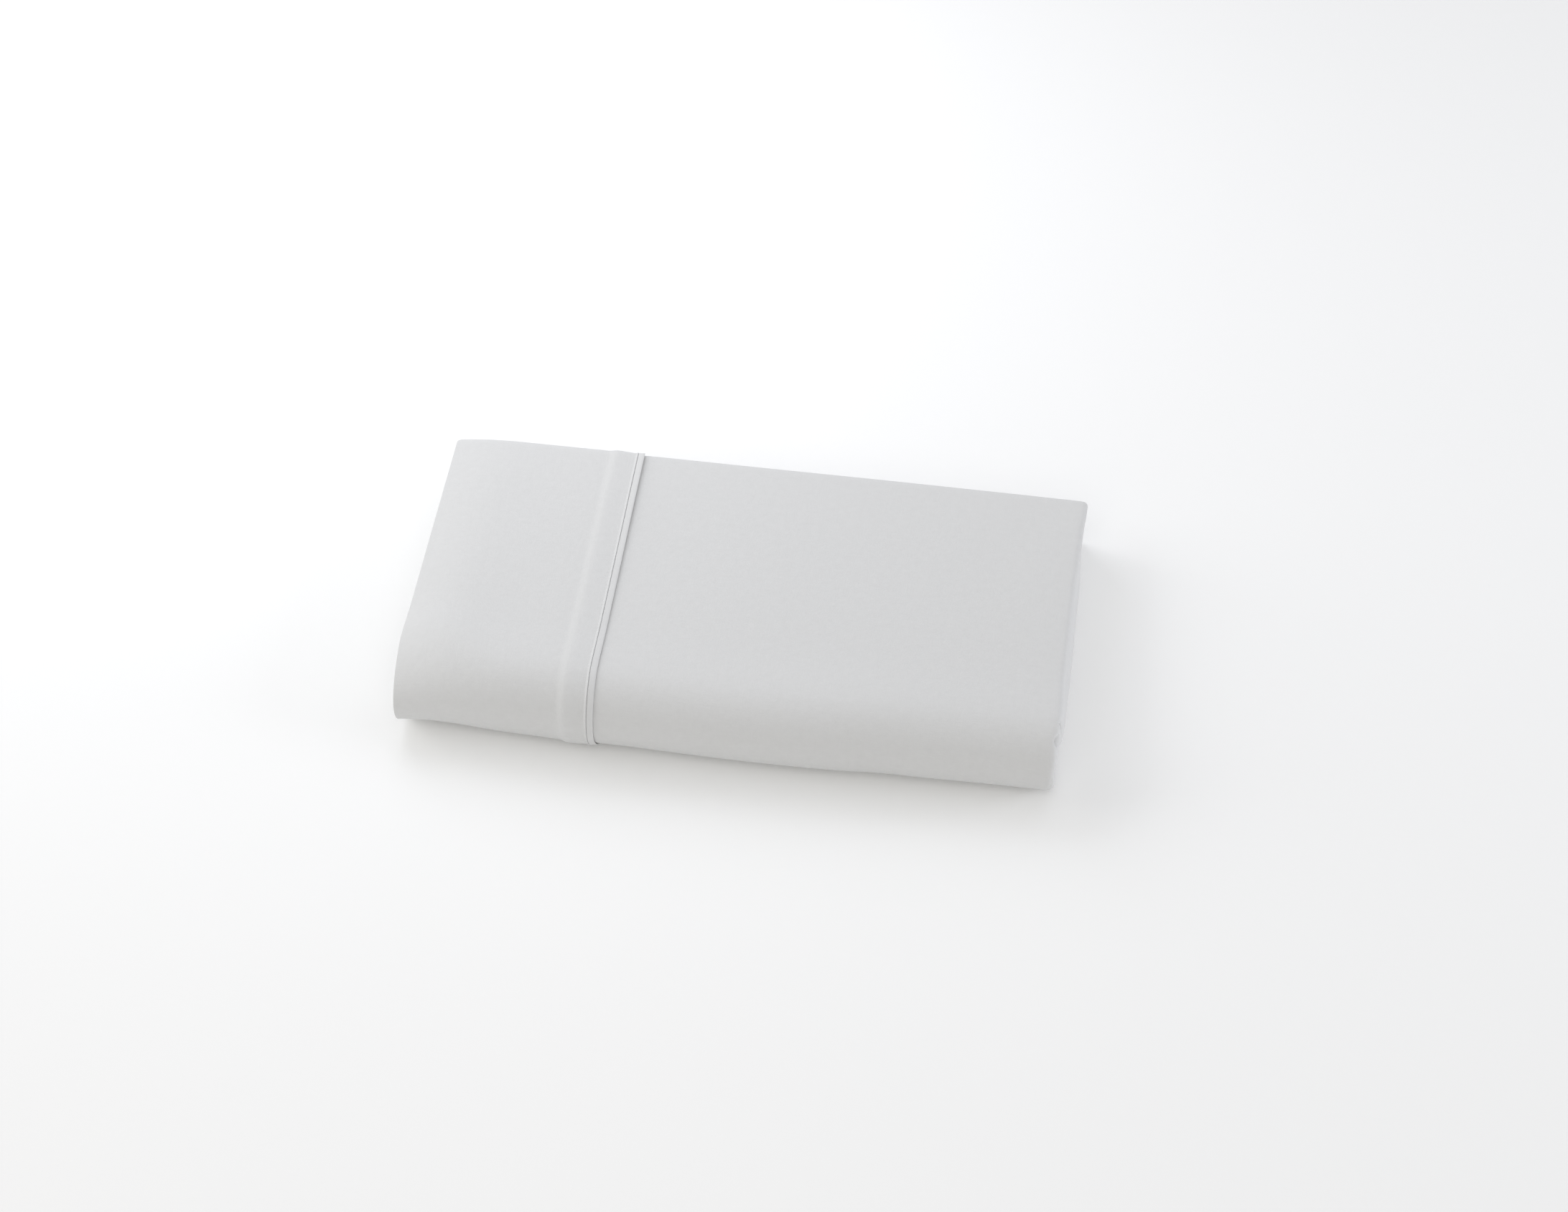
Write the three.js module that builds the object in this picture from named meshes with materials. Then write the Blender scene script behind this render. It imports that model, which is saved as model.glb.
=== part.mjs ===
// Folded flat sheet: a plain white cotton bed sheet, folded to a flat packet.
// Millimetres, +Z up. The packet rests on z = 0, with its smooth fold towards -Y,
// its rolled side towards +X and the open end of its hem towards -X.

import * as THREE from "three";

// Driving dimensions of the folded packet
const PACKET_WIDTH = 336; // from the open hem end to the rolled side
const PACKET_DEPTH = 193; // from the pressed back to the front fold
const FRONT_HEIGHT = 40; // over the bulging front fold
const BACK_HEIGHT = 30; // over the pressed back
const HALF_WIDTH = PACKET_WIDTH / 2;

// The strip: the cloth folded three times in half across its length, then bent once over the front
const LAYERS = 8;
const CLOTH_SHARE = 0.76; // of the layer pitch, the rest is air
const CORE_RADIUS = 1.5; // hollow core of the front fold
const CORE_RUN = 0.2; // share of the depth over which the core closes
const HALVES_GAP = 0.8; // between the upper and lower half behind the core
const STRIP_AT_FRONT = FRONT_HEIGHT / 2 - CORE_RADIUS;
const STRIP_AT_BACK = (BACK_HEIGHT - HALVES_GAP) / 2;
const PITCH = STRIP_AT_FRONT / (LAYERS - 1 + CLOTH_SHARE);
const CLOTH = PITCH * CLOTH_SHARE;

// Unevenness of the packet: the open end droops, and the lower half is a little out of line with the upper one
const OPEN_END_DROOP = { share: 0.15, moreInFront: 0.02, reach: 60 };
const CROWN_SHARE = 0.01;
const FRONT_RUN = 0.25; // share of the depth over which the top levels out towards the front fold
const LOWER_INSET = { openEnd: 5, rolledSide: -2.5 };
const OPEN_END_SKEW = 3; // the open end leans this far outwards at the back and inwards in front
const HEM_DRIFT = { out: 2.5, wide: 40 }; // the hem's edge runs this much slantwise from front to back
const END_ROUNDING = 1.2; // length over which a free edge thins
const FREE_EDGE_SHARE = 0.45;

// The front fold is a long nose, longest at the open end: its reach is this many times its height
const NOSE = { stretch: 1.24, moreAtOpenEnd: 0.9, reach: 60 };

// Soft bulges of the front fold: where along X, how far they stand out, and how wide they are
const FRONT_BULGES = [
  { at: 15, out: 3.6, wide: 85 },
  { at: -72, out: 0.7, wide: 16 },
  { at: 84, out: -0.8, wide: 14 },
];

// The wide hem at the head end, and the flat piping sewn against its edge
const HEM_WIDTH = 98.5;
const HEM_RAISE = 1;
const HEM_EDGE_X = -HALF_WIDTH + HEM_WIDTH;
const HEM_STEP = 0.5; // run of the step down from the hem to the body cloth
const PIPING_WIDTH = 3.4;
const PIPING_THICKNESS = 1;
const PIECE_GAP = 0.33;
const PIPING_LAST_ANGLE = -70; // where the piping is cut off under the front fold, in degrees

// Turns of the cloth, walked from the hem end to the foot end: layer 1 lies outermost.
// A turn shares its centre with the widest turn around it, which spans so many layer pitches,
// and the inset moves that one away from the end of the packet.
const TURNS = [
  { from: 1, to: 8, side: 1, widest: 7, inset: 0, steps: 8 },
  { from: 8, to: 5, side: -1, widest: 3, inset: 3, steps: 4 },
  { from: 5, to: 4, side: 1, widest: 7, inset: 0, steps: 3 },
  { from: 4, to: 3, side: -1, widest: 1, inset: 7, steps: 3 },
  { from: 3, to: 6, side: 1, widest: 7, inset: 0, steps: 4 },
  { from: 6, to: 7, side: -1, widest: 3, inset: 3, steps: 3 },
  { from: 7, to: 2, side: 1, widest: 7, inset: 0, steps: 5 },
];
const HEM_END_X = -HALF_WIDTH;
const FOOT_END_X = -HALF_WIDTH + 5;

// Stations shared by all layers along X, as shares of the half width, and along the depth of each half
const WIDTH_STATIONS = [-0.93, -0.85, -0.76, -0.6, -0.36, -0.1, 0.22, 0.4, 0.56, 0.8];
const DEPTH_STATIONS = [1, 0.72, 0.44, 0.2, 0.09, 0];
const FRONT_STEPS = 9;

const { lerp, smoothstep, degToRad } = THREE.MathUtils;

// A smooth hump of height 1 at zero, one width wide to each side
function hump(distance, width) {
  return Math.exp(-((distance / width) ** 2));
}

// How near a place along X is to the open end: 1 at the end itself, 0 from the given reach on
function openEndShare(x, reach) {
  return 1 - smoothstep(x, -HALF_WIDTH, -HALF_WIDTH + reach);
}

// Thickness of one half of the packet: depth is 0 at the front fold and 1 at the back
function halfThickness(x, depth) {
  const towardsBack = ((1 + FRONT_RUN) * depth ** 2) / (depth + FRONT_RUN);
  const droop = OPEN_END_DROOP.share + OPEN_END_DROOP.moreInFront * (1 - depth);
  const evenness = 1 - droop * openEndShare(x, OPEN_END_DROOP.reach) - CROWN_SHARE * (x / HALF_WIDTH) ** 2;
  return lerp(STRIP_AT_FRONT, STRIP_AT_BACK, towardsBack) * evenness;
}

function frontBulge(x) {
  return FRONT_BULGES.reduce((sum, bulge) => sum + bulge.out * hump(x - bulge.at, bulge.wide), 0);
}

function noseStretch(x) {
  return NOSE.stretch + NOSE.moreAtOpenEnd * openEndShare(x, NOSE.reach);
}

// Where the front fold starts to turn down
function foldCentre(x) {
  const noseReach = (CORE_RADIUS + halfThickness(x, 0)) * noseStretch(x);
  return noseReach - PACKET_DEPTH / 2 - frontBulge(x);
}

// Where a place along X lies, with the skew of the packet: lowered runs from 0 on the upper half to 1 on the lower
function skewed(x, y, lowered) {
  const side = x < 0 ? -LOWER_INSET.openEnd : LOWER_INSET.rolledSide;
  const inset = (side * lowered * Math.abs(x)) / HALF_WIDTH;
  const lean = (OPEN_END_SKEW * Math.max(-x, 0)) / HALF_WIDTH;
  const drift = HEM_DRIFT.out * hump(x - HEM_EDGE_X, HEM_DRIFT.wide);
  return x - inset - ((lean + drift) * y) / (PACKET_DEPTH / 2);
}

// The way around the packet, from the back of the upper half over the front fold to the back of the lower half
function wayAround() {
  const upper = DEPTH_STATIONS.map((depth) => ({ kind: "upper", depth, angle: 90 }));
  const front = [];
  for (let step = 1; step < FRONT_STEPS; step += 1) {
    front.push({ kind: "front", depth: 0, angle: 90 - (180 * step) / FRONT_STEPS });
  }
  const lower = DEPTH_STATIONS.map((depth) => ({ kind: "lower", depth, angle: -90 }));
  return [...upper, ...front, ...lower.reverse()];
}

// Places a point of the strip. Heights are over the strip's inner face, at the full thickness in front:
// that of the cloth's middle, and what its face stands off it. The rise is a further height over the face.
function place(x, middleHeight, faceHeight, rise, station) {
  const { kind, depth, angle } = station;
  const thickness = halfThickness(x, depth);
  const middle = (thickness * middleHeight) / STRIP_AT_FRONT;
  const face = (thickness * faceHeight) / STRIP_AT_FRONT + rise;
  if (kind === "front") {
    const turn = degToRad(angle);
    const reach = (CORE_RADIUS + middle) * noseStretch(x) + face;
    const radius = CORE_RADIUS + middle + face;
    const y = foldCentre(x) - reach * Math.cos(turn);
    return [skewed(x, y, (90 - angle) / 180), y, CORE_RADIUS + thickness + radius * Math.sin(turn)];
  }
  const y = lerp(foldCentre(x), PACKET_DEPTH / 2, depth);
  if (kind === "lower") {
    return [skewed(x, y, 1), y, thickness - middle - face];
  }
  const gap = lerp(HALVES_GAP, 2 * CORE_RADIUS, 1 - smoothstep(depth, 0, CORE_RUN));
  return [skewed(x, y, 0), y, thickness + gap + middle + face];
}

// Height of a layer's middle over the strip's inner face
function layerHeight(layer) {
  return CLOTH / 2 + (LAYERS - layer) * PITCH;
}

// The middle line of the cloth in the strip's section, with its direction and its share of the thickness
function clothLine() {
  const line = [];
  const addStraight = (layer, fromX, toX) => {
    const heading = Math.sign(toX - fromX);
    const between = WIDTH_STATIONS.map((share) => share * HALF_WIDTH)
      .concat(layer === 1 ? [HEM_EDGE_X - HEM_STEP, HEM_EDGE_X] : [])
      .filter((x) => (x - fromX) * heading > END_ROUNDING && (toX - x) * heading > END_ROUNDING)
      .sort((a, b) => (a - b) * heading);
    for (const x of [fromX, ...between, toX]) {
      line.push({ x, height: layerHeight(layer), heading, slope: 0, share: 1, layer });
    }
  };
  const addTurn = ({ from, to, side, steps }, centreX) => {
    const start = layerHeight(from);
    const end = layerHeight(to);
    const middle = (start + end) / 2;
    const radius = (start - end) / 2;
    for (let step = 1; step < steps; step += 1) {
      const angle = (Math.PI * step) / steps;
      line.push({
        x: centreX + side * Math.abs(radius) * Math.sin(angle),
        height: middle + radius * Math.cos(angle),
        heading: side * Math.cos(angle),
        slope: -Math.sign(radius) * Math.sin(angle),
        share: 1,
        layer: 0,
      });
    }
  };
  const turnCentre = ({ side, widest, inset }) => {
    return side * (HALF_WIDTH - (CLOTH + widest * PITCH) / 2 - inset);
  };
  let startX = HEM_END_X;
  for (const turn of TURNS) {
    addStraight(turn.from, startX, turnCentre(turn));
    addTurn(turn, turnCentre(turn));
    startX = turnCentre(turn);
  }
  addStraight(TURNS.at(-1).to, startX, FOOT_END_X);
  thinFreeEdge(line, 0, 1);
  thinFreeEdge(line, line.length - 1, line.length - 2);
  return line;
}

// Rounds a free edge: its last point thins, and a point of full thickness goes in just before it
function thinFreeEdge(line, edge, next) {
  const towards = Math.sign(line[next].x - line[edge].x);
  const full = { ...line[edge], x: line[edge].x + towards * END_ROUNDING };
  line[edge].share = FREE_EDGE_SHARE;
  line.splice(Math.max(edge, next), 0, full);
}

// Share of its height that trim keeps on the way around: it is pressed flat under the packet
function loft(station) {
  return smoothstep(station.angle, -90, -30);
}

// Raised height of the hem over the body cloth
function hemRaise(point, station) {
  return point.layer === 1 && point.x < HEM_EDGE_X ? HEM_RAISE * loft(station) : 0;
}

// One ring of the sheet: each point of the line has its outer and its inner face
function sheetRing(line, station) {
  const faces = line.map((point) => {
    const half = (CLOTH / 2) * point.share;
    const outward = { x: -point.slope * half, height: point.heading * half };
    const outer = place(point.x + outward.x, point.height, outward.height, hemRaise(point, station), station);
    const inner = place(point.x - outward.x, point.height, -outward.height, 0, station);
    return [outer, inner];
  });
  return [...faces.map(([outer]) => outer), ...faces.map(([, inner]) => inner).reverse()];
}

// One ring of the piping, a flat band that lies on the body cloth beside the hem's edge
function pipingRing(station) {
  const left = HEM_EDGE_X + PIECE_GAP;
  const right = left + PIPING_WIDTH;
  const low = PIECE_GAP;
  const high = PIECE_GAP + PIPING_THICKNESS * loft(station);
  const corners = [[left, high], [right, high], [right, low], [left, low]];
  return corners.map(([x, rise]) => place(x, layerHeight(1), CLOTH / 2, rise, station));
}

// Skins a row of closed rings and closes both ends: opposite points of a ring face each other across the cloth
function skin(rings) {
  const count = rings[0].length;
  const positions = rings.flat(2);
  const indices = [];
  const addQuad = (a, b, c, d) => indices.push(a, b, c, a, c, d);
  for (let row = 0; row + 1 < rings.length; row += 1) {
    for (let column = 0; column < count; column += 1) {
      const next = (column + 1) % count;
      const here = row * count;
      const ahead = here + count;
      addQuad(here + column, ahead + column, ahead + next, here + next);
    }
  }
  const lastRow = (rings.length - 1) * count;
  for (let column = 0; column + 1 < count / 2; column += 1) {
    const across = count - 1 - column;
    addQuad(column, column + 1, across - 1, across);
    addQuad(lastRow + across, lastRow + across - 1, lastRow + column + 1, lastRow + column);
  }
  const geometry = new THREE.BufferGeometry();
  geometry.setAttribute("position", new THREE.Float32BufferAttribute(positions, 3));
  geometry.setIndex(indices);
  geometry.computeVertexNormals();
  return geometry;
}

function makeSheet() {
  const line = clothLine();
  const rings = wayAround().map((station) => sheetRing(line, station));
  const cotton = new THREE.MeshStandardMaterial({ color: 0xeeeeed, roughness: 0.9, metalness: 0 });
  const mesh = new THREE.Mesh(skin(rings), cotton);
  mesh.name = "sheet";
  return mesh;
}

function makePiping() {
  const rings = wayAround()
    .filter((station) => station.angle >= PIPING_LAST_ANGLE)
    .map(pipingRing);
  const cotton = new THREE.MeshStandardMaterial({ color: 0xf1f1f0, roughness: 0.85, metalness: 0 });
  const mesh = new THREE.Mesh(skin(rings), cotton);
  mesh.name = "piping";
  return mesh;
}

const packet = new THREE.Group();
packet.add(makeSheet(), makePiping());

// The origin is under the middle of the packet
const bounds = new THREE.Box3().setFromObject(packet);
const middle = bounds.getCenter(new THREE.Vector3());
packet.position.set(-middle.x, -middle.y, -bounds.min.z);

export default packet;
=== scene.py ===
"""Dresses the folded flat sheet: its fine cloth, its flat piping, its sewing and a plain studio."""

import math
from collections import namedtuple

import bpy
from bpy.props import FloatProperty, FloatVectorProperty, PointerProperty
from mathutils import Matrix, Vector


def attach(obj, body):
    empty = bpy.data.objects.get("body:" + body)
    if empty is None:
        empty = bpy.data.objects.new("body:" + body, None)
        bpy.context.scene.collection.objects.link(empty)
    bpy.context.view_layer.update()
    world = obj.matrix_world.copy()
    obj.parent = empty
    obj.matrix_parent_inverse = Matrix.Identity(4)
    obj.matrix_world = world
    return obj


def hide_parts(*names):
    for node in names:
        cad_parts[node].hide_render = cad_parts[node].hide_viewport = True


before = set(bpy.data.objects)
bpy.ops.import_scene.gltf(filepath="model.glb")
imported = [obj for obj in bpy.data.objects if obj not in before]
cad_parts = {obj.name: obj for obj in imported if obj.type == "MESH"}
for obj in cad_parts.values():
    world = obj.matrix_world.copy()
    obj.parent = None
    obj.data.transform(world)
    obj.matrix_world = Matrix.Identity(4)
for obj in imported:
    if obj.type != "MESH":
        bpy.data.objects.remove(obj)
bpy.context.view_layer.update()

bl_info = {
    "name": "Folded flat sheet",
    "version": (1, 0, 0),
    "blender": (4, 5, 0),
    "location": "View3D > Sidebar > Flat sheet",
    "description": "A white cotton flat sheet folded to a packet of 96 layers",
    "category": "Object",
}

MM = 0.001

# The packet, as in the frame, in millimetres
PACKET_WIDTH = 336
PACKET_DEPTH = 193
FRONT_HEIGHT = 40
BACK_HEIGHT = 30
HALF_WIDTH = PACKET_WIDTH / 2
HALF_DEPTH = PACKET_DEPTH / 2
CENTRE_SHIFT = (0.253, 1.39)  # from the folding drawing to the middle of the frame's box

# The strip of eight layers, bent once over the front
LAYERS = 8
CORE_RADIUS = 1.5  # of the small hollow inside the front fold
CORE_RUN = 0.2  # share of the way back over which the hollow closes
HALVES_GAP = 0.8
STRIP_AT_FRONT = FRONT_HEIGHT / 2 - CORE_RADIUS
STRIP_AT_BACK = (BACK_HEIGHT - HALVES_GAP) / 2
CLOTH_SHARE = 0.76  # of the height from one layer to the next
PITCH = STRIP_AT_FRONT / (LAYERS - 1 + CLOTH_SHARE)
LAYER_CLOTH = PITCH * CLOTH_SHARE

# Each layer is the cloth's width folded to six plies, each one thickness of cotton
PLIES = 6
PLY_PITCH = 0.33
OUTERMOST = (PLIES - 2) / 2 * PLY_PITCH  # only the outermost ply lies further out than this

# Unevenness of the packet
OPEN_END_DROOP = 0.1  # share of the height that the open end loses at its edge
DROOP_IN_FRONT = 0.07  # and loses further towards the front fold
DROOP_REACH = 32
DROOP_POWER = 1.8  # 1 is an even slope down to the edge, more is a rounder one
CROWN_SHARE = 0.01  # share of the height that both ends lose
FRONT_RUN = 0.25  # how soon behind the front fold the height starts to fall
INSET_OPEN_END = 5  # of the lower half, as the next two are
INSET_ROLLED_SIDE = 0.6
INSET_BACK_CORNER = 1.6  # further, at the rolled side's back corner
BACK_CORNER_RUN = 60
OPEN_END_SKEW = 3  # seen from above, as the hem's drift is
HEM_DRIFT = 2.5
HEM_DRIFT_WIDE = 40
NOSE_STRETCH = 1.24  # how far the front fold reaches, where 1 is a half round
NOSE_MORE = 0.9  # further, at the open end
NOSE_REACH = 60
CORNER_RADIUS = 2.6  # of the back corners, seen from above
ROLL_SQUARENESS = 8  # 2 is a round roll, more is a squarer one, pressed flat at its side
BACK_SOFTNESS = 0.6  # drop of the top over its pressed back edge
BACK_SOFT_RUN = 5
WAVE_HEIGHT = 0.22  # of the hidden layers, which lie a little unevenly
WAVE_RUN_X = 21
WAVE_RUN_WAY = 42
WAVE_SHIFT_X = 1.7  # by the height, so that no two layers lie alike
WAVE_SHIFT_WAY = 2.3
PLY_END_RUN = 14  # how far in from the open end the plies' ends part

# Where the front fold stands out or lies back, along X
Bulge = namedtuple("Bulge", "at out wide")
FRONT_BULGES = (
    Bulge(at=15, out=3.6, wide=85),
    Bulge(at=-72, out=0.7, wide=16),
    Bulge(at=84, out=-0.8, wide=14),
)

# A way is a place along the cloth, measured from the back edge over the front fold
WAY_TO_FRONT = 166
FRONT_WAY = 66

# The rolled side: how far it leans out, and how far its wall slants out from its crisp upper edge
Side = namedtuple("Side", "way lean slant")
ROLLED_SIDE = (
    Side(way=0, lean=0.8, slant=-1.7),
    Side(way=7, lean=0.7, slant=-1.7),
    Side(way=22, lean=0, slant=-0.4),
    Side(way=60, lean=-0.5, slant=2.8),
    Side(way=130, lean=0, slant=3.9),
    Side(way=158, lean=1.5, slant=2.4),
    Side(way=168, lean=1.7, slant=1.6),
    Side(way=176, lean=1.5, slant=1.1),
    Side(way=182, lean=1.6, slant=0.2),
    Side(way=190, lean=1.9, slant=0),
    Side(way=200, lean=1.5, slant=0),
    Side(way=214, lean=0.9, slant=0),
    Side(way=228, lean=0.8, slant=0),
    Side(way=250, lean=0.4, slant=0),
    Side(way=400, lean=0, slant=0),
)
ROLL_RUN = 26  # how far in from the rolled side the cloth goes along with it

# Small dents in the rolled side's wall. A height is measured from the gap between the halves
Dent = namedtuple("Dent", "way height long tall deep")
SIDE_DENTS = (
    Dent(way=3.2, height=10, long=0.6, tall=7, deep=1.6),
    Dent(way=25, height=5, long=1.8, tall=3, deep=1.1),
    Dent(way=33, height=4, long=1.5, tall=1.8, deep=1.3),
    Dent(way=167.4, height=13.5, long=1.1, tall=2.4, deep=4),
    Dent(way=177.2, height=13.8, long=2.5, tall=2.2, deep=8.5),
    Dent(way=193, height=9.5, long=1.3, tall=1.6, deep=1.2),
    Dent(way=221, height=17.5, long=9, tall=4, deep=-1.5),  # stands out, as a pointed corner
)
DENT_RUN = 3  # times wider, where the plies under the outermost one give way

# Soft troughs and ridges of the top layer. A turn is in degrees, from X
Crease = namedtuple("Crease", "x way long wide turn height")
CREASES = (
    Crease(x=-128, way=52, long=46, wide=20, turn=-38, height=-0.42),
    Crease(x=-96, way=34, long=40, wide=18, turn=12, height=0.3),
    Crease(x=-112, way=112, long=44, wide=24, turn=80, height=-0.3),
    Crease(x=-20, way=120, long=60, wide=26, turn=-14, height=0.32),
    Crease(x=60, way=70, long=70, wide=30, turn=20, height=-0.3),
    Crease(x=96, way=150, long=60, wide=26, turn=-10, height=0.34),
    Crease(x=140, way=30, long=40, wide=14, turn=-64, height=-0.38),
    Crease(x=152, way=86, long=60, wide=12, turn=84, height=0.26),
)

# The wide hem. A place across it is measured along the cloth from the open end
HEM_WIDTH = 99.4
HEM_RAISE = 1.0  # of the doubled cloth over the single one
HEM_EDGE_X = HEM_WIDTH - HALF_WIDTH
ALLOWANCE_AT = 85.7  # where the turned-in seam allowance inside the hem ends
ALLOWANCE_RAISE = 0.85
ALLOWANCE_RUN = 5
ALLOWANCE_FALL = 0.85  # share of its rise that it loses again towards the stitches
STITCH_AT = 98.2
STITCH_TROUGH = 0.08
STITCH_TROUGH_WIDE = 0.35
STITCH_LIFT = 0.06  # of the thread's middle over the middle of the cloth
STITCH_FIRST_STATION = 2  # the row starts a little in from the back edge
EDGE_RIDGE = 0.5
EDGE_RIDGE_WIDE = 0.8
EDGE_RIDGE_AT = 99.1
HEM_STEP = 0.12  # how far the hem's edge runs out as it drops to the single cloth
HEM_SWING = 1.2  # of the hem's edge towards the rolled side, under the front fold
HEM_SWING_ANGLES = (10, 60)  # below level, where it starts and where it is full

# The flat piping beside the hem's edge
PIPING_GAP = 0.08
PIPING_LOW = 0.9  # height of the band's underside over the single cloth
PIPING_SLOPE = 0.6  # how much lower the band's free edge lies than its sewn edge
PIPING_UNDERCUT = 0.45  # how far the band's folded edge stands out over its underside
PIPING_ROUND_SHARE = 0.25  # of the band's thickness, at its folded edge
PIPING_SEWN_DROP = 0.1  # of the rounding at the band's sewn edge
PIPING_SEWN_RUN = 0.3
PIPING_LIFT_AT_BACK = 0.9  # of the band's free edge
PIPING_LIFT_RUN = 110
TRIM_LAST_ANGLE = -76  # where the trim ends under the front fold, in degrees
LOFT_ANGLES = (-90, -30)  # where the relief is pressed flat, and where it is still whole
LEAST_LOFT = 0.2  # share of its height that the trim keeps where it is pressed flattest

# Turns of the eight layers, walked from the hem end to the foot end
Turn = namedtuple("Turn", "start end side widest inset angles")
OUTER_TURN = (
    10, 20, 28, 34, 38, 41, 43.5, 46.5, 49, 52, 55, 58, 61, 64, 67, 71, 76, 82, 90, 98, 106, 114,
    122, 130, 134, 138, 144, 154, 166,
)
WIDE_TURN = (22, 38, 45, 52, 90, 128, 135, 142, 158)
SMALL_TURN = (30, 60, 90, 120, 150)
LAYER_TURNS = (
    Turn(start=1, end=8, side=1, widest=7, inset=0, angles=OUTER_TURN),
    Turn(start=8, end=5, side=-1, widest=3, inset=3, angles=SMALL_TURN),
    Turn(start=5, end=4, side=1, widest=7, inset=0, angles=SMALL_TURN),
    Turn(start=4, end=3, side=-1, widest=1, inset=7, angles=SMALL_TURN),
    Turn(start=3, end=6, side=1, widest=7, inset=0, angles=SMALL_TURN),
    Turn(start=6, end=7, side=-1, widest=3, inset=3, angles=SMALL_TURN),
    Turn(start=7, end=2, side=1, widest=7, inset=0, angles=WIDE_TURN),
)
TOP_FADE = 0.8  # share of the first turn over which the top layer's relief ends
HEM_END_X = -HALF_WIDTH
FOOT_END_X = -HALF_WIDTH + 5  # the foot end lies a little further in
BACK_INSETS = (0, 2.3, 0.9, 3.1, 1.5, 2.7, 0.6, 1.9)  # of layers 1 to 8, from the back edge

# The six plies, walked from one selvedge to the other
PLY_ORDER = (5, 4, 1, 2, 3, 6)
PLY_TURN_STEPS = 3
PLY_UPPER_INSETS = (0.2, 0.2, 1.0, 2.1, 2.1, 1.0)  # of plies 1 to 6, from the back edge
PLY_LOWER_INSETS = (0.6, 1.9, 1.9, 0.6, 1.3, 2.6)
PLY_END_INSETS = (0, 0.5, 0.2, 0.9, 0.4, 0.7)  # of plies 1 to 6, from the open hem end

# Stations of the two walks: many where the cloth shows, and few for what lies inside
TOP_LAYER_STATIONS = (
    0.3, 0.8, 1.5, 2.4, 3.5, 5, 7, 9.5, 12.5, 16, 20, 25, 31, 38, 45, 52, 59, 66, 72, 76, 78.5,
    80.5, 82, 83.2, 84.2, 85, 85.8, 86.6, 87.4, 88.3, 89.5, 91.5, 94, 96.3, 97.3, 97.7, 98, 98.2,
    98.45, 98.7, 98.95, 99.1, 99.2, 99.28, 99.34, 99.4, 99.8, 100.5, 101.7, 102.9, 103.9, 105.5,
    108, 112, 119, 128, 140, 152, 164, 176, 188, 200, 212, 224, 236, 248, 260, 270, 280, 289, 297,
    304, 309, 313.5, 317.5, 320.5, 323, 325,
)
HIDDEN_LAYER_STATIONS = (14, 40, 80, 130, 185, 240, 295)
OUTER_PLY_WAYS = (
    0, 0.6, 1.3, 2, 2.6, 3.2, 3.8, 4.5, 6, 8.5, 12, 16, 20, 23, 25, 27, 29.5, 31.5, 33, 34.5, 37,
    46, 58, 70, 81, 93, 105, 116, 126, 136, 145, 152, 157, 160, 162, 163.5, 166,
)
INNER_PLY_DEPTHS = (1, 0.985, 0.93, 0.8, 0.65, 0.48, 0.32, 0.17, 0.06, 0)
LOWER_PLY_DEPTHS = (0, 0.06, 0.35, 0.7, 0.985, 1)
OUTER_FRONT_STEPS = 46
INNER_FRONT_STEPS = 12

CLEAR_OF_TURN = 0.25  # least distance from a station to a turn

# The cotton's grain, whose scales are to the metre
PERCALE_THREAD = 0.5  # millimetres apart: real ones, 4 to the millimetre, are too fine to show
BAND_THREAD = 0.4
SLUB_SCALE_ALONG = 90  # a thicker stretch of thread is about 11 mm long
SLUB_SCALE_ACROSS = 1300  # and about 0.8 mm wide, as wide as it needs to show
MOTTLE_SCALE = 230  # the unevenness of pressed cloth, about 4 mm wide
MOTTLE_ROUGHNESS = 0.65
MOTTLE_RELIEF = 4.0  # how deep it is, over the thicker threads
WEAVE_RELIEF = 0.12
SLUB_TONE = 0.25
TONE_RANGE = (0.4, 1.1)
DARKEST_COTTON = 0.957
DARKEST_THREAD = 0.94
TWIST_SCALE = 900  # the thread's twist comes again every 0.7 mm along the row


def linear(code):
    """Turns an sRGB hex value such as #d8d4cc into linear red, green and blue."""
    parts = (int(code[i : i + 2], 16) / 255 for i in (1, 3, 5))
    return tuple(c / 12.92 if c <= 0.04045 else ((c + 0.055) / 1.055) ** 2.4 for c in parts)


def lerp(low, high, share):
    """The value at a share of the way from low to high."""
    return low + (high - low) * share


def smoothstep(value, low, high):
    """Goes smoothly from 0 at low to 1 at high."""
    share = min(max((value - low) / (high - low), 0), 1)
    return share * share * (3 - 2 * share)


def hump(distance, width):
    """Is 1 in its middle and fades out on both sides."""
    return math.exp(-((distance / width) ** 2))


# The form of the packet, in millimetres, as in the frame


def open_end_share(x, reach):
    """Is 1 at the open end and 0 from reach inwards."""
    return 1 - smoothstep(x, -HALF_WIDTH, -HALF_WIDTH + reach)


def half_thickness(x, depth):
    """Thickness of one half of the packet. depth goes from 0 at the front fold to 1 at the back."""
    towards_back = (1 + FRONT_RUN) * depth**2 / (depth + FRONT_RUN)
    near_end = max(1 - (x + HALF_WIDTH) / DROOP_REACH, 0) ** DROOP_POWER
    droop = (OPEN_END_DROOP + DROOP_IN_FRONT * (1 - depth)) * near_end
    evenness = 1 - droop - CROWN_SHARE * (x / HALF_WIDTH) ** 2
    return lerp(STRIP_AT_FRONT, STRIP_AT_BACK, towards_back) * evenness


def front_bulge(x):
    """How far the front fold stands out."""
    return sum(bulge.out * hump(x - bulge.at, bulge.wide) for bulge in FRONT_BULGES)


def nose_stretch(x):
    """How far the front fold reaches, over a half round."""
    return NOSE_STRETCH + NOSE_MORE * open_end_share(x, NOSE_REACH)


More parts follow.
